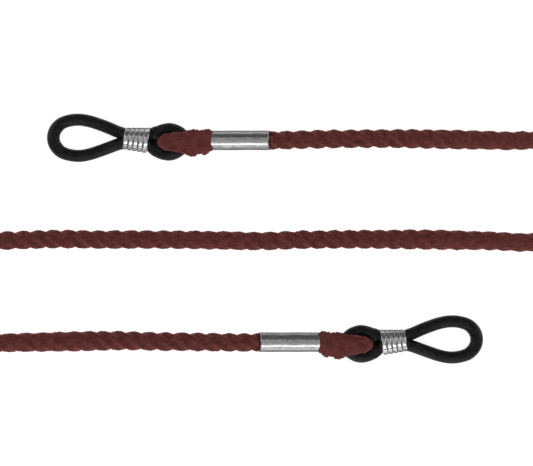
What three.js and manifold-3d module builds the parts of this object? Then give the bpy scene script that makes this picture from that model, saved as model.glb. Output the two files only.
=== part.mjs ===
// Eyeglasses cord strap, lying on a table: a twisted cord that ends at each side in a crimped
// ferrule, a folded bight, a rubber temple loop through that bight, and a wire coil that slides
// along the rubber. Millimetres, +Z up, table at z = 0, origin between the two ends.
import * as THREE from 'three';
import { mergeVertices } from 'three/addons/utils/BufferGeometryUtils.js';
import Module from 'manifold-3d';

const wasm = await Module();
wasm.setup();

// Driving dimensions.
const CORD_D = 3.45;
const CORD_Z = 1.75;
const CORD_SIDES = 8;
const CORD_STEP = 2 * CORD_D;

const RUBBER_D = 2.3;
const RUBBER_SIDES = 12;
const RUBBER_STEPS = 44;

const COIL_WIRE_WIDE = 0.86;
const COIL_WIRE_THICK = 0.42;
const COIL_BORE_R = 1.8;
const COIL_LENGTH = 5.0;
const COIL_TURNS = 4.3;
const COIL_STEPS_PER_TURN = 20;

const FERRULE_R = 1.8;
const FERRULE_BORE_R = 1.45;
const FERRULE_Z = 1.72;
const FERRULE_CHAMFER = 0.12;
const CORD_CORE_R = 1.25;
const GAP = 0.3;

// Each end is laid out in its own coordinates: u runs from the tip of the temple loop towards
// the cord, v is across, and both ends have the same v. The right end mirrors the left in u.
const END_TIP_X = 41.9;
const END_Y = 19.4;
const COIL_FROM_U = 15.1;
const COIL_V = -0.42;
const COIL_TILT = THREE.MathUtils.degToRad(3.2);
const SWING_U = 26.3;
const SWING_V = -0.78;
const SWING_Z = 3.2;
const FERRULE_FROM_U = 31.5;
const FERRULE_TO_U = 42.8;
const FERRULE_V = -0.5;

// Half of the rubber loop's centre line, from just past the tip of the temple loop to just past
// the middle of the small ring: u, distance from the middle line, v of the middle line, z.
const RUBBER_HALF = [
  [1.23, -0.75, 0, 1.15],
  [1.15, 0, 0, 1.15],
  [1.62, 1.75, 0, 1.15],
  [2.9, 3.03, 0, 1.15],
  [4.65, 3.47, 0, 1.15],
  [6.3, 3.54, 0, 1.15],
  [8.1, 3.26, 0, 1.15],
  [10.0, 2.62, -0.05, 1.2],
  [12.0, 1.86, -0.12, 1.45],
  [13.6, 1.2, -0.2, 1.9],
  [14.9, 0.52, -0.27, 2.2],
  [17.6, 0.5, -0.42, 2.23],
  [20.2, 0.52, -0.57, 2.27],
  [21.2, 1.4, -0.64, 2.4],
  [22.4, 2.12, -0.73, 2.6],
  [23.9, 2.41, -0.78, 2.9],
  [25.5, 1.85, -0.78, 3.15],
  [26.12, 0.95, -0.78, 3.2],
  [26.3, 0, -0.78, 3.2],
  [26.23, -0.6, -0.78, 3.2],
];

// The bight that the rubber runs through: narrow where the ring's sides pass, wide behind them.
const EYE_HOLE_R = 1.6;
const EYE_TIP_U = 22.3;
const EYE_TOP_Z = 6.3;
const EYE_BOTTOM_Z = 0.08;
const EYE_HALF_WIDTH = 0.8;
const SHOULDER_FROM_U = 27.9;
const SHOULDER_HALF_WIDTH = 2.35;
const SHOULDER_END_Z = 3.4;

// The free cord's route, x, y, z. The upper run leaves the left ferrule, turns back in a plain
// bend and runs to the coil; the lower run leaves the coil and enters the right ferrule.
const UPPER_RUN = [
  [1.2, 18.9, CORD_Z],
  [10.6, 19.15, CORD_Z],
  [24.4, 19.25, CORD_Z],
  [36.0, 19.1, CORD_Z],
  [46.0, 18.85, CORD_Z],
  [53.5, 18.65, CORD_Z],
  [60.25, 15.85, CORD_Z],
  [63.05, 9.1, CORD_Z],
  [60.25, 2.35, CORD_Z],
  [53.5, -0.45, CORD_Z],
  [43.0, -0.4, CORD_Z],
  [33.7, -0.2, CORD_Z],
  [22.1, -0.1, CORD_Z],
  [6.7, -0.2, CORD_Z],
  [-1.0, -0.45, CORD_Z],
  [-8.7, -0.3, CORD_Z],
  [-20.2, -0.15, CORD_Z],
  [-31.7, -0.15, CORD_Z],
  [-39.4, -0.05, CORD_Z],
  [-51.0, -0.35, CORD_Z],
  [-57.0, -0.25, CORD_Z],
  [-64.6, 2.4, CORD_Z],
];
const LOWER_RUN = [
  [-70.5, -29.2, CORD_Z],
  [-62.8, -24.2, CORD_Z],
  [-57.5, -21.3, CORD_Z],
  [-52.8, -20.2, CORD_Z],
  [-48.0, -19.95, CORD_Z],
  [-43.3, -19.85, CORD_Z],
  [-35.6, -19.7, CORD_Z],
  [-27.9, -19.6, CORD_Z],
  [-20.2, -19.75, CORD_Z],
  [-12.0, -19.85, CORD_Z],
  [-4.8, -19.95, CORD_Z],
  [-1.2, -19.9, CORD_Z],
];

// The coil that the rest of the cord is wound into: two turns side by side, the last on them.
const WOUND_CENTRE = [-88.0, -9.5];
const WOUND_MID_R = 20.7;
const WOUND_TOP_Z = 6.45;
const WOUND_SEGMENTS = 40;

const cordMaterial = () => new THREE.MeshStandardMaterial({ color: 0x5d3330, roughness: 0.75, metalness: 0 });
const rubberMaterial = () => new THREE.MeshStandardMaterial({ color: 0x1c1c1c, roughness: 0.5, metalness: 0 });
const metalMaterial = () => new THREE.MeshStandardMaterial({ color: 0xc4c4c4, roughness: 0.2, metalness: 1 });

// A point of an end in the part's frame. side is -1 on the left end and 1 on the right end.
function endPoint(side, u, v, z) {
  return new THREE.Vector3(side * (END_TIP_X - u), -side * END_Y + v, z);
}

function named(name, geometry, material) {
  const mesh = new THREE.Mesh(geometry, material);
  mesh.name = name;
  return mesh;
}

function regularShape(radius, sides) {
  const points = [];
  for (let i = 0; i < sides; i += 1) {
    const angle = (2 * Math.PI * (i + 0.5)) / sides;
    points.push(new THREE.Vector2(radius * Math.cos(angle), radius * Math.sin(angle)));
  }
  return new THREE.Shape(points);
}

function tubeAlong(curve, radius, sides, steps) {
  return new THREE.ExtrudeGeometry(regularShape(radius, sides), { extrudePath: curve, steps });
}

function toSolid(geometry) {
  const bare = geometry.clone();
  bare.deleteAttribute('normal');
  bare.deleteAttribute('uv');
  const merged = mergeVertices(bare, 1e-4);
  return new wasm.Manifold(new wasm.Mesh({
    numProp: 3,
    vertProperties: new Float32Array(merged.attributes.position.array),
    triVerts: new Uint32Array(merged.index.array),
  }));
}

function toGeometry(solid) {
  const mesh = solid.getMesh();
  const geometry = new THREE.BufferGeometry();
  geometry.setAttribute('position', new THREE.BufferAttribute(new Float32Array(mesh.vertProperties), 3));
  geometry.setIndex(new THREE.BufferAttribute(new Uint32Array(mesh.triVerts), 1));
  geometry.computeVertexNormals();
  return geometry;
}

// A helix along X whose frames keep one section axis radial, so that flat wire lies flat.
class FlatWireHelix extends THREE.Curve {
  constructor(radius, length, turns, hand) {
    super();
    this.radius = radius;
    this.length = length;
    this.turns = turns;
    this.hand = hand;
  }

  angleAt(t) {
    return this.hand * 2 * Math.PI * this.turns * t;
  }

  getPoint(t, target = new THREE.Vector3()) {
    const angle = this.angleAt(t);
    const x = this.length * (t - 0.5);
    return target.set(x, this.radius * Math.cos(angle), this.radius * Math.sin(angle));
  }

  computeFrenetFrames(segments) {
    const frames = { tangents: [], normals: [], binormals: [] };
    for (let i = 0; i <= segments; i += 1) {
      const angle = this.angleAt(i / segments);
      const tangent = this.getTangentAt(i / segments);
      const radial = new THREE.Vector3(0, Math.cos(angle), Math.sin(angle));
      frames.tangents.push(tangent);
      frames.normals.push(radial);
      frames.binormals.push(new THREE.Vector3().crossVectors(tangent, radial));
    }
    return frames;
  }
}

// Flat wire with rounded edges: x is its thickness and y its width.
function wireSection() {
  const x = COIL_WIRE_THICK / 2;
  const y = COIL_WIRE_WIDE / 2;
  const shape = new THREE.Shape();
  shape.moveTo(-x, -0.55 * y);
  shape.lineTo(0, -y);
  shape.lineTo(x, -0.55 * y);
  shape.lineTo(x, 0.55 * y);
  shape.lineTo(0, y);
  shape.lineTo(-x, 0.55 * y);
  shape.closePath();
  return shape;
}

function sliderCoil(side) {
  const radius = COIL_BORE_R + COIL_WIRE_THICK / 2;
  const helix = new FlatWireHelix(radius, COIL_LENGTH - COIL_WIRE_WIDE, COIL_TURNS, side);
  const steps = Math.round(COIL_TURNS * COIL_STEPS_PER_TURN);
  const geometry = new THREE.ExtrudeGeometry(wireSection(), { extrudePath: helix, steps });
  const mesh = named('slider_coil', geometry, metalMaterial());
  const height = COIL_BORE_R + COIL_WIRE_THICK;
  mesh.position.copy(endPoint(side, COIL_FROM_U + COIL_LENGTH / 2, COIL_V, height));
  mesh.rotation.z = side * COIL_TILT;
  return mesh;
}

// The endless rubber ring, pinched in the coil, as its two halves joined.
function rubberLoop(side) {
  const halves = [1, -1].map((leg) => {
    const points = RUBBER_HALF.map(([u, spread, v, z]) => endPoint(side, u, v + leg * spread, z));
    const curve = new THREE.CatmullRomCurve3(points, false, 'centripetal');
    return toSolid(tubeAlong(curve, RUBBER_D / 2, RUBBER_SIDES, RUBBER_STEPS));
  });
  return named('rubber_loop', toGeometry(halves[0].add(halves[1])), rubberMaterial());
}

// The crimped tube, with the flat that the crimping leaves on its underside.
function ferrule(side) {
  const half = (FERRULE_TO_U - FERRULE_FROM_U) / 2;
  const profile = [
    [FERRULE_BORE_R, -half],
    [FERRULE_R - FERRULE_CHAMFER, -half],
    [FERRULE_R, -half + FERRULE_CHAMFER],
    [FERRULE_R, half - FERRULE_CHAMFER],
    [FERRULE_R - FERRULE_CHAMFER, half],
    [FERRULE_BORE_R, half],
    [FERRULE_BORE_R, -half],
  ].map(([r, y]) => new THREE.Vector2(r, y));
  const tube = new THREE.LatheGeometry(profile, 32);
  tube.rotateZ(Math.PI / 2);
  const centre = endPoint(side, FERRULE_FROM_U + half, FERRULE_V, FERRULE_Z);
  tube.translate(centre.x, centre.y, centre.z);
  const below = new THREE.BoxGeometry(4 * half, 4 * FERRULE_R, FERRULE_R);
  below.translate(centre.x, centre.y, -FERRULE_R / 2);
  return named('ferrule', toGeometry(toSolid(tube).subtract(toSolid(below))), metalMaterial());
}

// The side view of the bight, in u and z: an eye around the rubber that tapers to the ferrule.
function bightSideShape() {
  const shape = new THREE.Shape();
  const end = FERRULE_FROM_U - GAP;
  shape.moveTo(end, EYE_BOTTOM_Z + 0.3);
  shape.lineTo(end - 1.2, EYE_BOTTOM_Z);
  shape.lineTo(SWING_U, EYE_BOTTOM_Z);
  shape.quadraticCurveTo(EYE_TIP_U, EYE_BOTTOM_Z, EYE_TIP_U, SWING_Z);
  shape.quadraticCurveTo(EYE_TIP_U, EYE_TOP_Z, SWING_U, EYE_TOP_Z);
  shape.bezierCurveTo(SWING_U + 2.5, EYE_TOP_Z, end - 1.8, SHOULDER_END_Z + 0.5, end, SHOULDER_END_Z);
  shape.closePath();
  const hole = new THREE.Path();
  hole.absarc(SWING_U, SWING_Z, EYE_HOLE_R, 0, 2 * Math.PI);
  shape.holes.push(hole);
  return shape;
}

// The bight from above, in u and v.
function bightTopShape() {
  const end = FERRULE_FROM_U - GAP;
  const half = [
    [EYE_TIP_U - 1, EYE_HALF_WIDTH],
    [SHOULDER_FROM_U, EYE_HALF_WIDTH],
    [SHOULDER_FROM_U + 0.5, SHOULDER_HALF_WIDTH - 0.2],
    [SHOULDER_FROM_U + 1.4, SHOULDER_HALF_WIDTH],
    [end - 0.6, SHOULDER_HALF_WIDTH],
    [end, SHOULDER_HALF_WIDTH - 0.4],
  ];
  const upper = half.map(([u, v]) => new THREE.Vector2(u, v));
  const lower = half.map(([u, v]) => new THREE.Vector2(u, -v)).reverse();
  return new THREE.Shape([...upper, ...lower]);
}

// Extrudes a shape drawn in u and a second axis, then moves it to the part's frame.
function inEndFrame(geometry, side, v) {
  if (side > 0) {
    geometry.rotateZ(Math.PI);
  }
  const origin = endPoint(side, 0, v, 0);
  geometry.translate(origin.x, origin.y, 0);
  return toSolid(geometry);
}

function cordBight(side) {
  const deep = 3 * SHOULDER_HALF_WIDTH;
  const sideView = new THREE.ExtrudeGeometry(bightSideShape(), { depth: deep, bevelEnabled: false, curveSegments: 10 });
  sideView.rotateX(Math.PI / 2);
  sideView.translate(0, deep / 2, 0);
  const tall = 2 * EYE_TOP_Z;
  const topView = new THREE.ExtrudeGeometry(bightTopShape(), { depth: tall, bevelEnabled: false });
  topView.translate(0, 0, -tall / 4);
  const eye = inEndFrame(sideView, side, SWING_V).intersect(inEndFrame(topView, side, SWING_V));

  const fromU = FERRULE_FROM_U - GAP - 0.5;
  const core = new THREE.CylinderGeometry(CORD_CORE_R, CORD_CORE_R, FERRULE_TO_U - fromU, 16);
  core.rotateZ(Math.PI / 2);
  core.translate((FERRULE_TO_U + fromU) / 2, 0, FERRULE_Z);
  return named('cord_bight', toGeometry(eye.add(inEndFrame(core, side, FERRULE_V))), cordMaterial());
}

function cordRun(name, route) {
  const curve = new THREE.CatmullRomCurve3(route.map((p) => new THREE.Vector3(...p)), false, 'centripetal');
  const steps = Math.round(curve.getLength() / CORD_STEP);
  return named(name, tubeAlong(curve, CORD_D / 2, CORD_SIDES, steps), cordMaterial());
}

function woundCord() {
  const profile = [
    [-CORD_D, 0],
    [CORD_D, 0],
    [CORD_D, CORD_D],
    [CORD_D / 2, WOUND_TOP_Z],
    [-CORD_D / 2, WOUND_TOP_Z],
    [-CORD_D, CORD_D],
    [-CORD_D, 0],
  ].map(([r, z]) => new THREE.Vector2(WOUND_MID_R + r, z));
  const geometry = new THREE.LatheGeometry(profile, WOUND_SEGMENTS);
  geometry.rotateX(Math.PI / 2);
  geometry.translate(WOUND_CENTRE[0], WOUND_CENTRE[1], 0);
  return named('cord_coil', geometry, cordMaterial());
}

const strap = new THREE.Group();
for (const [prefix, side] of [['left', -1], ['right', 1]]) {
  const end = new THREE.Group();
  for (const mesh of [rubberLoop(side), sliderCoil(side), cordBight(side), ferrule(side)]) {
    mesh.name = `${prefix}_${mesh.name}`;
    end.add(mesh);
  }
  strap.add(end);
}
strap.add(cordRun('cord_upper_run', UPPER_RUN));
strap.add(woundCord());
strap.add(cordRun('cord_lower_run', LOWER_RUN));

export default strap;
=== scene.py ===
"""Looks of the eyeglasses cord strap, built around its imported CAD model.

Only the floor, the lamps and the camera's clipping distances are written in metres. Each end has
its own coordinates, the same as in the CAD: u runs from the tip of the rubber loop towards the
cord, v is across, z is up. The left end is side -1 and the right end is side 1.
"""
import math

import bpy
import numpy as np
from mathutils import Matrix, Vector


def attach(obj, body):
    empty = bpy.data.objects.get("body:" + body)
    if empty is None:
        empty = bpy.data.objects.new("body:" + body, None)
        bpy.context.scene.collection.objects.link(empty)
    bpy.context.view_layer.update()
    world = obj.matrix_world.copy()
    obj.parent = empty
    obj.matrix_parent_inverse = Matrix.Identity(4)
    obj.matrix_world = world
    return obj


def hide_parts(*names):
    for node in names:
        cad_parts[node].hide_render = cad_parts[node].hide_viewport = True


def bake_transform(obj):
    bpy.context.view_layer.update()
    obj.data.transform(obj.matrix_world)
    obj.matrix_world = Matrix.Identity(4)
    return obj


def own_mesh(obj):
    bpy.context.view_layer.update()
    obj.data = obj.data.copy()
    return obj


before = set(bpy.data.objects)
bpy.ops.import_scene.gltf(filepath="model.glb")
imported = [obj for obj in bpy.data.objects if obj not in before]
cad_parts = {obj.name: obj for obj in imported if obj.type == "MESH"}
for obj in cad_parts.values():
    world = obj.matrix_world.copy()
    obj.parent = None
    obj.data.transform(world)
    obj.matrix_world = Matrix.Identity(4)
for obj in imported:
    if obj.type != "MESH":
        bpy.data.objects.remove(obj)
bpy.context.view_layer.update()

MM = 0.001
UP = np.array([0.0, 0.0, 1.0])

# The camera is straight above the middle of what it sees, with a long lens.
VIEW_CENTRE = (0.19, 1.115, 1.75)
VIEW_WIDTH = 102.5
LENS = 250.0
SENSOR = 36.0

# The twisted cord. GROOVE_R is its radius in the grooves between the strands, and LOOSE_R that of
# the smooth tube that it would be without grooves. Its lay isn't quite even: the strands run a
# little ahead and behind in waves.
CORD_D = 3.45
CORD_Z = 1.75
STRANDS = 4
STRAND_R = 0.74
STRAND_OFF_AXIS = 1.07
GROOVE_R = 1.46
LOOSE_R = 1.8
LAY_PITCH = 11.963
LAY_START = 1.2
LAY_WAVE = 0.25
LAY_WAVE_LENGTH = 2 * math.pi * 4.7
CORD_SIDES = 48
CORD_RING_STEP = 0.33
FUZZ = 0.036

# The cord starts and ends inside a ferrule and is squeezed there. Distances are from its end, and
# RIGHT_FERRULE_LONGER more at the right one.
SQUEEZED_TO = 0.86
MOUTH_AT = 1.36
MOUTH_WIDENS_OVER = 0.26

# Where the cord is thicker: distance along it, spread and added radius.
SWELLINGS = [(35.0, 8.0, 0.11), (106.0, 9.0, 0.16), (615.5, 10.0, 0.15)]

# How loosely the cord is laid: distance along it, and looseness, where 0 is four round strands,
# 1 would be a smooth tube and less than 0 has deeper grooves.
LOOSENESS = [
    (0, -0.35),
    (17, -0.3),
    (30, -0.1),
    (37, 0.35),
    (50, 0.4),
    (102, 0.4),
    (107, -0.1),
    (114, 0.05),
    (120, -0.15),
    (127, -0.35),
    (134, -0.35),
    (138, 0.0),
    (143, 0.4),
    (149, 0.4),
    (156, -0.05),
    (166, 0.0),
    (172, -0.25),
    (186, -0.35),
    (200, 0.0),
    (603, 0.4),
    (616, 0.4),
    (621, -0.05),
    (633, -0.2),
    (652, -0.35),
]

# The winding that puts the unseen cord away. Its angles are in degrees from +X, counted on from
# turn to turn, and the cord takes a quarter turn to change from one place to the next.
WOUND_CENTRE = np.array([-88.0, -9.5])
WOUND_MID_R = 20.7
WOUND_OUTER_R = WOUND_MID_R + CORD_D / 2
WOUND_INNER_R = WOUND_MID_R - CORD_D / 2
WOUND_FROM = 60
GOES_INSIDE_AT = 330
CLIMBS_AT = 600
COMES_DOWN_AT = 900
WOUND_TO = 1020
CHANGE_TAKES = 90
WOUND_STEP = 10

# The free cord's route on either side of its winding.
BEFORE_WINDING = [
    (-0.6, 18.9),
    (1.2, 18.9),
    (10.6, 19.15),
    (24.4, 19.25),
    (36.0, 19.1),
    (46.0, 18.85),
    (53.5, 18.65),
    (60.25, 15.85),
    (63.05, 9.1),
    (60.25, 2.35),
    (53.5, -0.45),
    (43.0, -0.4),
    (33.7, -0.2),
    (22.1, -0.1),
    (6.7, -0.2),
    (-1.0, -0.45),
    (-8.7, -0.3),
    (-20.2, -0.15),
    (-31.7, -0.15),
    (-39.4, -0.05),
    (-51.0, -0.35),
    (-57.0, -0.25),
    (-62.5, 1.4),
    (-69.0, 5.1),
]
AFTER_WINDING = [
    (-69.0, -28.3),
    (-62.8, -24.2),
    (-57.5, -21.3),
    (-52.8, -20.2),
    (-48.0, -19.95),
    (-43.3, -19.85),
    (-35.6, -19.7),
    (-27.9, -19.6),
    (-20.2, -19.75),
    (-12.0, -19.85),
    (-4.8, -19.95),
    (-1.2, -19.9),
    (0.6, -19.9),
]

# Where the two ends lie. The right end is a little shorter, between its ferrule and its loop.
END_TIP_X = 41.9
END_Y = 19.4
RIGHT_SHORTER = 0.19
RIGHT_SHORTENS_OVER = 7.0

# The wire coil, which leans and widens towards the small ring.
COIL_FROM_U = 14.69
COIL_PITCH = 0.957
COIL_TURNS = 5
COIL_TO_U = COIL_FROM_U + COIL_PITCH * COIL_TURNS
COIL_MIDDLE_U = 17.6
COIL_V = -0.36
COIL_SLOPE = -0.082
COIL_TIP_END_R = 2.07
COIL_RING_END_R = 2.46
COIL_LEAN = 0.07
COIL_OFF_TABLE = 0.02
WIRE_HALF_WIDE = 0.45
WIRE_HALF_THICK = 0.23
WIRE_SQUARENESS = 3.4
WIRE_GIRTH = 2.2
WIRE_SIDES = 24
WIRE_RINGS_PER_TURN = 72
WIRE_END_SIZE = 0.55
WIRE_END_TURNS = 0.03

# The ferrules, with slanting ends, rounded rims and a flat underside just above the table.
FERRULE_R = 1.87
FERRULE_WALL = 0.26
FERRULE_AXIS_Z = 1.79
FERRULE_FROM_U = 31.66
FERRULE_TO_U = 42.76
RIGHT_FERRULE_LONGER = 0.33
FERRULE_V = -0.47
FERRULE_SLANT = -0.17
FERRULE_RIM = 0.13
FERRULE_BORE_RIM = 0.05
FERRULE_DENTS_FROM_RIM = 0.8
FERRULE_SIDES = 96
FERRULE_RINGS = 60
FLAT_Z = 0.01

# The rubber, which is round but for three places: the coil squeezes its two legs together, the
# legs press on each other beside the coil, and it swells next to the coil and at its tip.
# SQUEEZED and PRESSED are stretches of u, and a swelling is u, spread and height.
RUBBER_R = 1.18
RUBBER_SIDES = 40
RUBBER_RING_STEP = 0.22
LEG_OFF_AXIS = 0.82
SQUEEZED = (14.4, 0.8, 20.05, 0.5)
PRESSED = (19.2, 0.3, 21.8, 0.8)
RUBBER_SWELLINGS = [(21.0, 0.8, 0.22), (1.0, 2.0, 0.06)]

# Two u and a z along each rubber part, between its loop and the slider; make_rubber_loop turns them
# into points that nothing uses.
TEMPLE_LOOP_BLEND = (1.2, 14.6, 1.15)
SMALL_RING_BLEND = (25.0, 20.2, 2.2)

# Half of the rubber's centre line, from the tip of the temple loop to the middle of the wire
# coil, and from the far end of the small ring to the same place: u, distance from the middle
# line, v of the middle line, z.
TEARDROP_HALF = [
    (1.07, 0.0, 0.04, 1.18),
    (1.42, 1.42, 0.04, 1.18),
    (2.6, 2.72, 0.04, 1.18),
    (4.35, 3.34, 0.04, 1.18),
    (6.15, 3.48, 0.03, 1.18),
    (8.0, 3.18, 0.035, 1.18),
    (9.9, 2.58, 0.04, 1.2),
    (11.9, 1.84, 0.02, 1.4),
    (13.3, 1.28, -0.03, 1.72),
    (14.3, 0.98, -0.06, 1.95),
    (15.2, 0.86, -0.13, 2.12),
    (17.6, 0.82, -0.36, 2.28),
]
RING_HALF = [
    (26.4, 0.0, -0.69, 3.2),
    (26.15, 0.84, -0.69, 3.2),
    (25.67, 1.5, -0.7, 3.17),
    (25.08, 1.92, -0.72, 3.12),
    (24.4, 2.25, -0.76, 3.02),
    (23.5, 2.46, -0.77, 2.88),
    (22.8, 2.4, -0.79, 2.76),
    (22.0, 2.17, -0.79, 2.63),
    (21.3, 1.74, -0.77, 2.52),
    (20.75, 1.5, -0.68, 2.47),
    (20.3, 1.3, -0.6, 2.45),
    (19.95, 1.05, -0.51, 2.43),
    (19.5, 0.86, -0.49, 2.43),
    (17.6, 0.82, -0.36, 2.28),
]

# The cord's folded end, from inside the ferrule over the rubber ring, down through it and back
# under it: u, z, v, half its width, half its thickness.
BIGHT = [
    (32.8, 2.3, -0.45, 1.2, 0.72),
    (31.9, 2.34, -0.46, 1.3, 0.78),
    (31.66, 2.36, -0.48, 1.92, 0.84),
    (31.35, 2.42, -0.5, 2.1, 0.88),
    (31.0, 2.65, -0.55, 2.25, 0.93),
    (30.4, 3.25, -0.77, 2.36, 0.98),
    (29.5, 4.05, -0.86, 2.28, 1.0),
    (28.4, 4.8, -1.0, 2.5, 1.0),
    (27.4, 5.22, -1.1, 2.45, 0.98),
    (26.4, 5.38, -1.03, 2.18, 0.96),
    (25.4, 5.42, -0.92, 1.85, 0.95),
    (23.8, 5.3, -0.88, 1.72, 0.95),
    (22.7, 4.9, -0.88, 1.5, 0.95),
    (22.05, 4.3, -0.86, 1.05, 0.92),
    (22.2, 3.55, -0.84, 0.98, 0.9),
    (22.9, 2.85, -0.8, 0.98, 0.88),
    (23.7, 2.0, -0.78, 1.05, 0.85),
    (24.4, 1.3, -0.78, 1.3, 0.82),
    (25.4, 0.95, -0.8, 1.6, 0.8),
    (26.6, 0.86, -0.85, 1.75, 0.8),
    (28.2, 0.84, -0.9, 1.9, 0.8),
    (29.8, 0.86, -0.85, 1.9, 0.8),
    (31.1, 0.95, -0.6, 1.75, 0.78),
    (31.66, 1.05, -0.5, 1.5, 0.74),
    (31.9, 1.1, -0.48, 1.2, 0.68),
    (32.8, 1.15, -0.45, 1.15, 0.66),
]
BIGHT_SIDES = 48
BIGHT_RING_STEP = 0.16
BIGHT_SQUARENESS = 2.5
BIGHT_RELIEF = 0.035
BIGHT_MIDDLE = (27.0, -0.6, 3.2)

# The lamps: name, azimuth, tilt, distance, width and height in metres, radiance.
LAMPS = [
    ("key", 0, 50, 2.4, 2.1, 0.86, 3.1),
    ("overhead", 0, 8, 3.0, 3.2, 2.1, 0.44),
    ("rim", 180, 23, 2.4, 2.4, 0.16, 1.8),
    ("shoulder", 0, 33, 2.5, 3.0, 0.40, 0.95),
    ("low_fill", 0, 83, 2.6, 3.2, 0.5, 2.1),
    ("left_side", -108, 66, 2.6, 1.6, 1.4, 2.4),
    ("right_side", 108, 66, 2.6, 1.6, 1.4, 2.4),
]


# ---------------------------------------------------------------------------------------------
# The camera


def make_camera():
    data = bpy.data.cameras.new("camera")
    data.lens = LENS
    data.sensor_width = SENSOR
    camera = bpy.data.objects.new("camera", data)
    distance = VIEW_WIDTH * LENS / SENSOR
    x, y, z = VIEW_CENTRE
    camera.location = (x * MM, y * MM, (z + distance) * MM)
    data.clip_start = 0.01
    data.clip_end = 20.0
    bpy.context.scene.collection.objects.link(camera)
    bpy.context.scene.camera = camera


# ---------------------------------------------------------------------------------------------
# Curves and sweeps


def smooth(t):
    """0 below 0, 1 above 1, and a smooth step between."""
    t = np.clip(t, 0.0, 1.0)
    return t * t * (3.0 - 2.0 * t)


def stretch(x, start, rise, stop, fall):
    """1 between start and stop, 0 outside them, with smooth steps as long as rise and fall."""
    return smooth((x - start) / rise) * smooth((stop - x) / fall)


def swelling(x, middle, spread, height):
    """A smooth hump of the given height around the middle."""
    return height * np.exp(-(((x - middle) / spread) ** 2))


def unit(vectors):
    return vectors / np.linalg.norm(vectors, axis=-1, keepdims=True)


def spline(points, per_span=24):
    """A centripetal Catmull-Rom curve through the points, finely sampled."""
    p = np.array(points, float)
    p = np.vstack([2 * p[0] - p[1], p, 2 * p[-1] - p[-2]])
    out = []
    for i in range(1, len(p) - 2):
        gap = [math.sqrt(np.linalg.norm(p[i + k] - p[i + k - 1])) for k in (0, 1, 2)]
        start = (p[i] - p[i - 1]) / gap[0] - (p[i + 1] - p[i - 1]) / (gap[0] + gap[1])
        start = (start + (p[i + 1] - p[i]) / gap[1]) * gap[1]
        end = (p[i + 1] - p[i]) / gap[1] - (p[i + 2] - p[i]) / (gap[1] + gap[2])
        end = (end + (p[i + 2] - p[i + 1]) / gap[2]) * gap[1]
        t = np.linspace(0.0, 1.0, per_span, endpoint=False)[:, None]
        curve = (2 * t**3 - 3 * t**2 + 1) * p[i] + (t**3 - 2 * t**2 + t) * start
        curve += (3 * t**2 - 2 * t**3) * p[i + 1] + (t**3 - t**2) * end
        out.append(curve)
    out.append(p[-2][None, :])
    return np.vstack(out)


def lengths_along(line):
    steps = np.linalg.norm(np.diff(line, axis=0), axis=1)
    return np.concatenate([[0.0], np.cumsum(steps)])


def respaced(line, step):
    """The same line with its points about step apart, and how far along it each one is."""
    along = lengths_along(line[:, :3])
    stations = np.linspace(0.0, along[-1], max(2, round(along[-1] / step) + 1))
    return np.stack([np.interp(stations, along, column) for column in line.T], axis=1), stations


def level_frames(line):
    """Across and up vectors of a line that stays near level: across is to its left."""
    tangents = unit(np.gradient(line, axis=0))
    across = unit(np.cross(UP, tangents))
    return across, np.cross(tangents, across)


def sweep(name, centres, across, up, section, along, perimeter, closed=False):
    """A mesh around the centres. section[i, j] is point j's (across, up) offset at ring i.

    Its UV map Lay holds the distance round the section and the distance along, in millimetres.
    """
    rings, sides = section.shape[:2]
    points = centres[:, None, :] + section[..., :1] * across[:, None, :]
    points = (points + section[..., 1:] * up[:, None, :]).reshape(-1, 3)
    faces, uvs = [], []
    last = rings if closed else rings - 1
    for i in range(last):
        near, far = i * sides, ((i + 1) % rings) * sides
        v0, v1 = along[i], along[i + 1]
        for j in range(sides):
            k = (j + 1) % sides
            faces.append((near + j, near + k, far + k, far + j))
            u0, u1 = perimeter * j / sides, perimeter * (j + 1) / sides
            uvs += [(u0, v0), (u1, v0), (u1, v1), (u0, v1)]
    if not closed:
        points = np.vstack([points, centres[:1], centres[-1:]])
        for ring, centre, turn in ((0, rings * sides, -1), (rings - 1, rings * sides + 1, 1)):
            for j in range(sides):
                k = (j + 1) % sides
                corner = [ring * sides + j, ring * sides + k, centre]
                faces.append(tuple(corner[::turn]))
                u0, u1 = perimeter * j / sides, perimeter * (j + 1) / sides
                edge = [(u0, along[ring]), (u1, along[ring]), ((u0 + u1) / 2, along[ring])]
                uvs += edge[::turn]
    return make_mesh(name, points, faces, uvs)


def make_mesh(name, points, faces, uvs):
    mesh = bpy.data.meshes.new(name)
    mesh.from_pydata((np.array(points) * MM).tolist(), [], faces)
    layer = mesh.uv_layers.new(name="Lay")
    layer.data.foreach_set("uv", np.array(uvs, np.float32).ravel())
    mesh.shade_smooth()
    mesh.update()
    piece = bpy.data.objects.new(name, mesh)
    bpy.context.scene.collection.objects.link(piece)
    return piece


def circle_angles(sides):
    return np.arange(sides) * 2 * math.pi / sides


def rounded_box(angles, power):
    """A superellipse of half width 1 and half height 1: power 2 is round, more is squarer."""
    cos, sin = np.cos(angles), np.sin(angles)
    return np.sign(cos) * np.abs(cos) ** (2 / power), np.sign(sin) * np.abs(sin) ** (2 / power)


# ---------------------------------------------------------------------------------------------
# Materials


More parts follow.
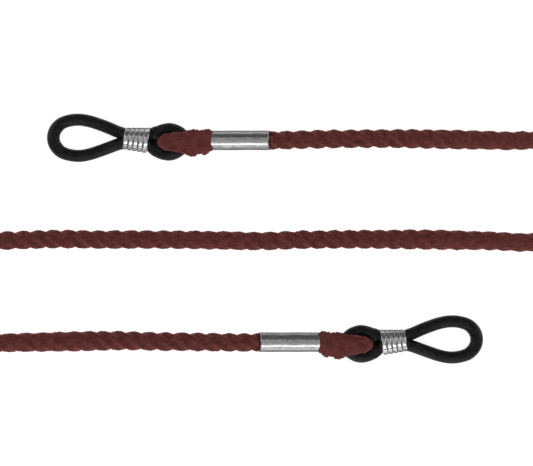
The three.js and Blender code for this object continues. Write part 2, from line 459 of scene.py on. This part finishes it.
class Nodes:
    """A material's node tree with its Principled shader."""

    def __init__(self, name):
        self.material = bpy.data.materials.new(name)
        self.material.use_nodes = True
        self.tree = self.material.node_tree
        self.shader = self.tree.nodes["Principled BSDF"]

    def add(self, kind, **settings):
        node = self.tree.nodes.new(kind)
        for key, value in settings.items():
            setattr(node, key, value)
        return node

    def link(self, source, target):
        self.tree.links.new(source, target)

    def lay(self, scale_round, scale_along):
        """The Lay map stretched to so many repeats per millimetre."""
        uv = self.add("ShaderNodeUVMap", uv_map="Lay")
        mapping = self.add("ShaderNodeMapping")
        mapping.inputs["Scale"].default_value = (scale_round, scale_along, 1.0)
        self.link(uv.outputs["UV"], mapping.inputs["Vector"])
        return mapping.outputs["Vector"]

    def noise(self, vector, detail, roughness=0.55):
        node = self.add("ShaderNodeTexNoise")
        node.inputs["Scale"].default_value = 1.0
        node.inputs["Detail"].default_value = detail
        node.inputs["Roughness"].default_value = roughness
        self.link(vector, node.inputs["Vector"])
        return node.outputs["Fac"]

    def ramp(self, factor, stops):
        node = self.add("ShaderNodeValToRGB")
        elements = node.color_ramp.elements
        while len(elements) < len(stops):
            elements.new(0.5)
        for element, (position, colour) in zip(elements, stops):
            element.position = position
            element.color = (*colour, 1.0)
        self.link(factor, node.inputs["Fac"])
        return node.outputs["Color"]

    def spread(self, factor, low, high):
        """The factor mapped from its usual 0.3 to 0.7 onto low to high."""
        node = self.add("ShaderNodeMapRange")
        node.inputs["From Min"].default_value = 0.3
        node.inputs["From Max"].default_value = 0.7
        node.inputs["To Min"].default_value = low
        node.inputs["To Max"].default_value = high
        self.link(factor, node.inputs["Value"])
        return node.outputs["Result"]

    def multiply(self, colour, factor_colour):
        node = self.add("ShaderNodeMix", data_type="RGBA", blend_type="MULTIPLY")
        node.inputs["Factor"].default_value = 1.0
        self.link(colour, node.inputs["A"])
        self.link(factor_colour, node.inputs["B"])
        return node.outputs["Result"]

    def bump(self, height, depth, strength, under=None):
        node = self.add("ShaderNodeBump")
        node.inputs["Distance"].default_value = depth * MM
        node.inputs["Strength"].default_value = strength
        self.link(height, node.inputs["Height"])
        if under is not None:
            self.link(under, node.inputs["Normal"])
        return node.outputs["Normal"]


def cord_material():
    n = Nodes("cord_yarn")
    fibre = n.noise(n.lay(7.0, 0.55), detail=4.0)
    tuft = n.noise(n.lay(1.0, 0.8), detail=3.0)
    base = n.ramp(fibre, [(0.35, (0.098, 0.0215, 0.0183)), (0.65, (0.182, 0.0415, 0.0353))])
    patch = n.ramp(tuft, [(0.38, (0.66, 0.62, 0.62)), (0.62, (1.05, 1.05, 1.05))])
    n.link(n.multiply(base, patch), n.shader.inputs["Base Color"])
    n.link(n.spread(fibre, 0.72, 0.92), n.shader.inputs["Roughness"])
    n.shader.inputs["Specular IOR Level"].default_value = 0.25
    n.shader.inputs["Sheen Weight"].default_value = 0.35
    n.shader.inputs["Sheen Roughness"].default_value = 0.5
    n.shader.inputs["Sheen Tint"].default_value = (0.55, 0.10, 0.08, 1.0)
    rough = n.bump(tuft, 0.12, 0.5)
    n.link(n.bump(fibre, 0.10, 0.7, rough), n.shader.inputs["Normal"])
    return n.material


def rubber_material():
    n = Nodes("black_rubber")
    grain = n.noise(n.lay(2.4, 0.9), detail=5.0, roughness=0.75)
    smear = n.noise(n.lay(0.7, 0.25), detail=3.0)
    base = n.ramp(grain, [(0.38, (0.0005, 0.0005, 0.0006)), (0.68, (0.0165, 0.0165, 0.017))])
    n.link(base, n.shader.inputs["Base Color"])
    n.link(n.spread(grain, 0.3, 0.5), n.shader.inputs["Roughness"])
    n.shader.inputs["Specular IOR Level"].default_value = 0.17
    ripple = n.bump(smear, 0.05, 0.4)
    n.link(n.bump(grain, 0.09, 0.8, ripple), n.shader.inputs["Normal"])
    return n.material


def metal_material(name, grey, roughness, flank_shade, shade_below, unshaded_above):
    """Plated metal, streaky along its length. Below the given heights its flanks have painted shade.
    """
    n = Nodes(name)
    streak = n.noise(n.lay(9.0, 0.5), detail=4.0)
    cloud = n.noise(n.lay(0.8, 0.3), detail=2.0)
    base = n.ramp(streak, [(0.34, (0.8 * grey,) * 3), (0.66, (1.2 * grey,) * 3)])
    # Painted shade: the colour is darker on the lower flanks, fading out between the two given
    # heights.
    height = n.add("ShaderNodeSeparateXYZ")
    n.link(n.add("ShaderNodeTexCoord").outputs["Object"], height.inputs["Vector"])
    unshaded = n.add("ShaderNodeMapRange")
    unshaded.inputs["From Min"].default_value = shade_below * MM
    unshaded.inputs["From Max"].default_value = unshaded_above * MM
    n.link(height.outputs["Z"], unshaded.inputs["Value"])
    shade_tone = n.ramp(unshaded.outputs["Result"], [(0.0, (flank_shade,) * 3), (1.0, (1.0, 1.0, 1.0))])
    n.link(n.multiply(base, shade_tone), n.shader.inputs["Base Color"])
    n.shader.inputs["Metallic"].default_value = 1.0
    n.shader.inputs["Specular Tint"].default_value = (0.15, 0.15, 0.15, 1.0)
    n.link(n.spread(cloud, *roughness), n.shader.inputs["Roughness"])
    wave = n.bump(cloud, 0.07, 0.4)
    n.link(n.bump(streak, 0.03, 0.65, wave), n.shader.inputs["Normal"])
    return n.material


CORD_YARN = cord_material()
RUBBER = rubber_material()
# Both metals get painted shade on their flanks, below the given heights.
FERRULE_METAL = metal_material(
    "ferrule_nickel", grey=0.43, roughness=(0.15, 0.25), flank_shade=0.62, shade_below=2.85, unshaded_above=3.15
)
WIRE_METAL = metal_material(
    "wire_nickel", grey=0.54, roughness=(0.16, 0.27), flank_shade=0.46, shade_below=3.0, unshaded_above=4.1
)


def finished(piece, material, slot, *nodes):
    piece.data.materials.append(material)
    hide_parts(*nodes)


# ---------------------------------------------------------------------------------------------
# The cord


def on_winding(degrees, radius, z):
    angle = math.radians(degrees)
    x, y = WOUND_CENTRE + radius * np.array([math.cos(angle), math.sin(angle)])
    return (x, y, z)


def winding_turn(degrees):
    """Radius and height of the wound cord at an angle counted on from turn to turn.

    It goes round outside, then inside that turn, climbs up, goes round on top of both and comes
    down outside them.
    """
    if degrees <= CLIMBS_AT:
        inward = smooth((degrees - GOES_INSIDE_AT) / CHANGE_TAKES)
        return WOUND_OUTER_R + (WOUND_INNER_R - WOUND_OUTER_R) * inward, CORD_Z
    to_middle = WOUND_MID_R - WOUND_INNER_R
    rise = math.sqrt(CORD_D**2 - to_middle**2)
    if degrees <= CLIMBS_AT + CHANGE_TAKES:
        climb = smooth((degrees - CLIMBS_AT) / CHANGE_TAKES)
        return WOUND_INNER_R + to_middle * climb, CORD_Z + rise * math.sin(math.pi / 2 * climb)
    if degrees <= COMES_DOWN_AT:
        return WOUND_MID_R, CORD_Z + rise
    on_top = math.radians(120)
    tilt = on_top * (1 - smooth((degrees - COMES_DOWN_AT) / CHANGE_TAKES))
    return WOUND_OUTER_R + CORD_D * math.cos(tilt), CORD_Z + CORD_D * math.sin(tilt)


def cord_route():
    route = [(x, y, CORD_Z) for x, y in BEFORE_WINDING]
    for degrees in range(WOUND_FROM, WOUND_TO + 1, WOUND_STEP):
        route.append(on_winding(degrees, *winding_turn(degrees)))
    return np.array(route + [(x, y, CORD_Z) for x, y in AFTER_WINDING])


def strand_section(angles, twist):
    """Distance from the cord's axis to its skin, for the strands turned by twist."""
    spacing = 2 * math.pi / STRANDS
    local = (angles - twist + spacing / 2) % spacing - spacing / 2
    half_chord = np.sqrt(np.maximum(STRAND_R**2 - (STRAND_OFF_AXIS * np.sin(local)) ** 2, 0.0))
    lobe = STRAND_OFF_AXIS * np.cos(local) + half_chord
    softness = 12.0
    return np.log(np.exp(softness * lobe) + math.exp(softness * GROOVE_R)) / softness


def fuzz(shape, seed):
    """Small smooth bumps all over a swept skin, as loose fibres make."""
    bumps = np.random.default_rng(seed).normal(0.0, 1.0, shape)
    further = 0.5 * (np.roll(bumps, 1, axis=0) + np.roll(bumps, 2, axis=1))
    bumps = bumps + np.roll(bumps, 1, axis=1) + further
    spread_of_sum = 1.6
    return FUZZ * bumps / spread_of_sum


def make_cord():
    line, along = respaced(spline(cord_route()), CORD_RING_STEP)
    across, up = level_frames(line)
    angles = circle_angles(CORD_SIDES)
    uneven = LAY_WAVE * np.sin(2 * math.pi * along / LAY_WAVE_LENGTH)
    twist = 2 * math.pi * (along + LAY_START + uneven) / LAY_PITCH
    radius = strand_section(angles[None, :], twist[:, None])
    looseness = np.interp(along, *zip(*LOOSENESS))
    radius += (LOOSE_R - radius) * looseness[:, None]
    for row in SWELLINGS:
        radius += swelling(along, *row)[:, None]
    radius += fuzz(radius.shape, 1)
    to_end = np.minimum(along, along[-1] - along - RIGHT_FERRULE_LONGER)
    outside = smooth((to_end - MOUTH_AT) / MOUTH_WIDENS_OVER)
    radius *= (SQUEEZED_TO + (1 - SQUEEZED_TO) * outside)[:, None]
    section = np.stack([radius * np.cos(angles), radius * np.sin(angles)], axis=2)
    height = line[:, 2][:, None] + section[..., 1]
    lowest = 0.02
    section[..., 1] += np.maximum(lowest - height, 0.0)
    cord = sweep("cord", line, across, up, section, along, math.pi * CORD_D)
    finished(cord, CORD_YARN, "cord", "cord_upper_run", "cord_coil", "cord_lower_run")
    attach(cord, "strap")


# ---------------------------------------------------------------------------------------------
# The two ends


def at(side, u, v, z):
    """A point of an end in the part's frame, in millimetres. The right end is a little shorter."""
    if side > 0:
        u = u + RIGHT_SHORTER * smooth((FERRULE_FROM_U - u) / RIGHT_SHORTENS_OVER)
    return np.stack(np.broadcast_arrays(side * (END_TIP_X - u), v - side * END_Y, z), axis=-1)


def coil_radius(u):
    """Outer radius of the slider coil, which widens towards the ring."""
    share = (np.clip(u, COIL_FROM_U, COIL_TO_U) - COIL_FROM_U) / (COIL_TO_U - COIL_FROM_U)
    return COIL_TIP_END_R + (COIL_RING_END_R - COIL_TIP_END_R) * share


def coil_axis(side, u):
    v = COIL_V + COIL_SLOPE * (u - COIL_MIDDLE_U)
    return at(side, u, v, coil_radius(u) + COIL_OFF_TABLE)


def squeezed_leg(angles, bore, off_axis):
    """Distance from a leg's middle to its skin where two legs fill the coil's bore."""
    wall = np.sqrt(bore**2 - (off_axis * np.sin(angles)) ** 2) - off_axis * np.cos(angles)
    half_gap = 0.02
    other_leg = (off_axis - half_gap) / np.maximum(-np.cos(angles), 1e-3)
    sharpness = 9.0
    return (wall**-sharpness + other_leg**-sharpness) ** (-1 / sharpness)


def make_rubber(name, side, half, first_leg):
    """One part of the rubber ring: the temple loop or the small ring, with half of the neck."""
    there = [(u, v + first_leg * spread, z, spread) for u, spread, v, z in reversed(half)]
    back = [(u, v - first_leg * spread, z, spread) for u, spread, v, z in half[1:]]
    route, along = respaced(spline(there + back), RUBBER_RING_STEP)
    line = at(side, route[:, 0], route[:, 1], route[:, 2])
    across, up = level_frames(line)
    angles = circle_angles(RUBBER_SIDES)
    u = route[:, :1]
    bore = coil_radius(u) - 2 * WIRE_HALF_THICK
    squeeze = stretch(u, *SQUEEZED)
    held = squeezed_leg(angles[None, :], bore, LEG_OFF_AXIS)
    radius = RUBBER_R + (held - RUBBER_R) * squeeze
    swollen = sum(swelling(u, *row) for row in RUBBER_SWELLINGS)
    wide = 1 + swollen * (1 - squeeze) / RUBBER_R
    # Where it is pressed, the inner side of a leg reaches the middle line between the legs.
    to_other_leg = route[:, 3:] / np.maximum(np.abs(across[:, 1:2]), 0.6)
    inner = radius[:, RUBBER_SIDES // 2][:, None] * wide
    inner_wide = 1 + np.maximum(to_other_leg / inner - 1, 0.0) * stretch(u, *PRESSED)
    wide = wide * np.where(np.cos(angles) < 0, inner_wide, 1.0)
    section = np.stack([wide * radius * np.cos(angles), radius * np.sin(angles)], axis=2)
    return sweep(name, line, across, up, section, along, 2 * math.pi * RUBBER_R)


def make_rubber_loop(end, side):
    temple = make_rubber(f"{end}_temple_loop", side, TEARDROP_HALF, side)
    finished(temple, RUBBER, "rubber", f"{end}_rubber_loop")
    start_u, stop_u, z = TEMPLE_LOOP_BLEND
    start, stop = at(side, start_u, 0.0, z), at(side, stop_u, 0.0, z)
    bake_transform(temple)
    ring = make_rubber(f"{end}_small_ring", side, RING_HALF, -side)
    finished(ring, RUBBER, "rubber", f"{end}_rubber_loop")
    start_u, stop_u, z = SMALL_RING_BLEND
    start, stop = at(side, start_u, 0.0, z), at(side, stop_u, 0.0, z)
    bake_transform(ring)


def make_slider(end, side):
    """A close-wound wire, slightly flattened, with both of its ends underneath."""
    turns = np.linspace(0.0, COIL_TURNS, COIL_TURNS * WIRE_RINGS_PER_TURN + 1)
    angle = 2 * math.pi * turns + math.pi
    u = COIL_FROM_U + COIL_PITCH * turns
    radius = coil_radius(u) - WIRE_HALF_THICK
    radial = np.stack([np.zeros_like(angle), np.sin(angle), np.cos(angle)], axis=1)
    line = coil_axis(side, u) + radius[:, None] * radial
    line[:, 0] -= side * COIL_LEAN * radius * np.sin(angle)
    tangent = unit(np.gradient(line, axis=0))
    across = unit(np.cross(radial, tangent))
    up = np.cross(tangent, across)
    whole = smooth(np.minimum(turns, COIL_TURNS - turns) / WIRE_END_TURNS)
    size = (WIRE_END_SIZE + (1 - WIRE_END_SIZE) * whole)[:, None]
    wide, thick = rounded_box(circle_angles(WIRE_SIDES), WIRE_SQUARENESS)
    section = np.stack([size * WIRE_HALF_WIDE * wide, size * WIRE_HALF_THICK * thick], axis=2)
    coil = sweep(f"{end}_wire_coil", line, across, up, section, lengths_along(line), WIRE_GIRTH)
    finished(coil, WIRE_METAL, "coil_wire", f"{end}_slider_coil")
    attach(coil, f"{end}_slider")


def make_ferrule(end, side):
    """A crimped tube with softly rounded rims, slanting ends and slight dents."""
    from_u = FERRULE_FROM_U
    to_u = FERRULE_TO_U + (RIGHT_FERRULE_LONGER if side > 0 else 0.0)
    round_rim = [math.radians(degrees) for degrees in range(0, 91, 15)]
    rim_u = [from_u + FERRULE_RIM * (1 - math.cos(a)) for a in round_rim]
    rim_r = [FERRULE_R - FERRULE_RIM + FERRULE_RIM * math.sin(a) for a in round_rim]
    straight = np.linspace(rim_u[-1], to_u - FERRULE_RIM, FERRULE_RINGS)[1:-1]
    u = rim_u + list(straight) + [from_u + to_u - x for x in reversed(rim_u)]
    r = rim_r + [FERRULE_R] * len(straight) + rim_r[::-1]
    bore = FERRULE_R - FERRULE_WALL
    u += [to_u, to_u - FERRULE_BORE_RIM, from_u + FERRULE_BORE_RIM, from_u]
    r += [bore + FERRULE_BORE_RIM, bore, bore, bore + FERRULE_BORE_RIM]
    u, r = np.array(u), np.array(r)
    angles = circle_angles(FERRULE_SIDES)
    line = at(side, u, FERRULE_V, FERRULE_AXIS_Z)
    across = np.tile([0.0, side, 0.0], (len(u), 1))
    up = np.tile([-side * FERRULE_SLANT, 0.0, 1.0], (len(u), 1))
    # Two slow waves round and along the tube, each about a hundredth of a millimetre high.
    dents = 0.006 * np.sin(1.1 * u[:, None] + 2 * angles) + 0.005 * np.sin(0.6 * u[:, None] - angles)
    inside_rims = stretch(u, from_u, FERRULE_DENTS_FROM_RIM, to_u, FERRULE_DENTS_FROM_RIM)
    radius = r[:, None] * (1 + dents * inside_rims[:, None])
    section = np.stack([radius * np.cos(angles), radius * np.sin(angles)], axis=2)
    section[..., 1] = np.maximum(section[..., 1], FLAT_Z - FERRULE_AXIS_Z)
    along = np.append(lengths_along(np.stack([u, r], axis=1)), 0.0)
    along[-1] = along[-2] + FERRULE_WALL
    girth = 2 * math.pi * FERRULE_R
    tube = sweep(f"{end}_crimp_tube", line, across, up, section, along, girth, closed=True)
    finished(tube, FERRULE_METAL, "ferrule_metal", f"{end}_ferrule")
    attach(tube, "strap")


def make_bight(end, side):
    """The cord's flattened end, folded over the ring."""
    route, along = respaced(spline(BIGHT), BIGHT_RING_STEP)
    u, z, v, half_wide, half_thick = (route[:, k : k + 1] for k in range(5))
    line = at(side, u[:, 0], v[:, 0], z[:, 0])
    tangent = unit(np.gradient(line, axis=0))
    across = np.tile([0.0, float(side), 0.0], (len(line), 1))
    up = unit(np.cross(tangent, across))
    angles = circle_angles(BIGHT_SIDES)
    wide, tall = rounded_box(angles, BIGHT_SQUARENESS)
    twist = 2 * math.pi * along[:, None] / LAY_PITCH
    strands = 1 + BIGHT_RELIEF * np.cos(STRANDS * (angles - twist))
    strands = strands + fuzz((len(line), BIGHT_SIDES), 2)
    if side > 0:
        mirrored = (BIGHT_SIDES // 2 - np.arange(BIGHT_SIDES)) % BIGHT_SIDES
        strands = strands[:, mirrored]
    section = np.stack([half_wide * wide * strands, half_thick * tall * strands], axis=2)
    bight = sweep(f"{end}_folded_cord", line, across, up, section, along, math.pi * CORD_D)
    finished(bight, CORD_YARN, "cord", f"{end}_cord_bight")
    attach(bight, "strap")
    middle = at(side, *BIGHT_MIDDLE) * MM
    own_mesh(bight)


def make_end(end, side):
    make_rubber_loop(end, side)
    make_slider(end, side)
    make_bight(end, side)
    make_ferrule(end, side)


# ---------------------------------------------------------------------------------------------
# Stage


def make_floor():
    size = 4.0
    corners = [(-size, -size, 0), (size, -size, 0), (size, size, 0), (-size, size, 0)]
    mesh = bpy.data.meshes.new("floor")
    mesh.from_pydata(corners, [], [(0, 1, 2, 3)])
    floor = bpy.data.objects.new("floor", mesh)
    n = Nodes("pale_floor")
    n.shader.inputs["Base Color"].default_value = (0.5, 0.5, 0.5, 1.0)
    n.shader.inputs["Roughness"].default_value = 0.9
    n.shader.inputs["Specular IOR Level"].default_value = 0.0
    n.shader.inputs["Emission Color"].default_value = (1.0, 1.0, 1.0, 1.0)
    n.shader.inputs["Emission Strength"].default_value = 0.85
    mesh.materials.append(n.material)
    bpy.context.scene.collection.objects.link(floor)


def softbox(name, azimuth, tilt, distance, wide, high, radiance):
    """A soft rectangular lamp aimed at the strap.

    Its azimuth is counted from -Y towards +X, and its tilt from straight overhead.
    """
    around, down = math.radians(azimuth), math.radians(tilt)
    x, y = math.sin(down) * math.sin(around), -math.sin(down) * math.cos(around)
    direction = Vector((x, y, math.cos(down)))
    data = bpy.data.lights.new(name, "AREA")
    data.shape = "RECTANGLE"
    data.size = wide
    data.size_y = high
    data.energy = radiance * math.pi * wide * high
    lamp = bpy.data.objects.new(name, data)
    lamp.location = distance * direction
    lamp.rotation_euler = direction.to_track_quat("Z", "Y").to_euler()
    bpy.context.scene.collection.objects.link(lamp)


def make_light():
    world = bpy.data.worlds.new("studio")
    bpy.context.scene.world = world
    world.use_nodes = True
    background = world.node_tree.nodes["Background"]
    background.inputs["Color"].default_value = (1.0, 1.0, 1.0, 1.0)
    background.inputs["Strength"].default_value = 0.16
    for row in LAMPS:
        softbox(*row)
    bpy.context.scene.view_settings.view_transform = "Standard"


make_camera()
make_cord()
make_end("left", -1)
make_end("right", 1)
make_floor()
make_light()
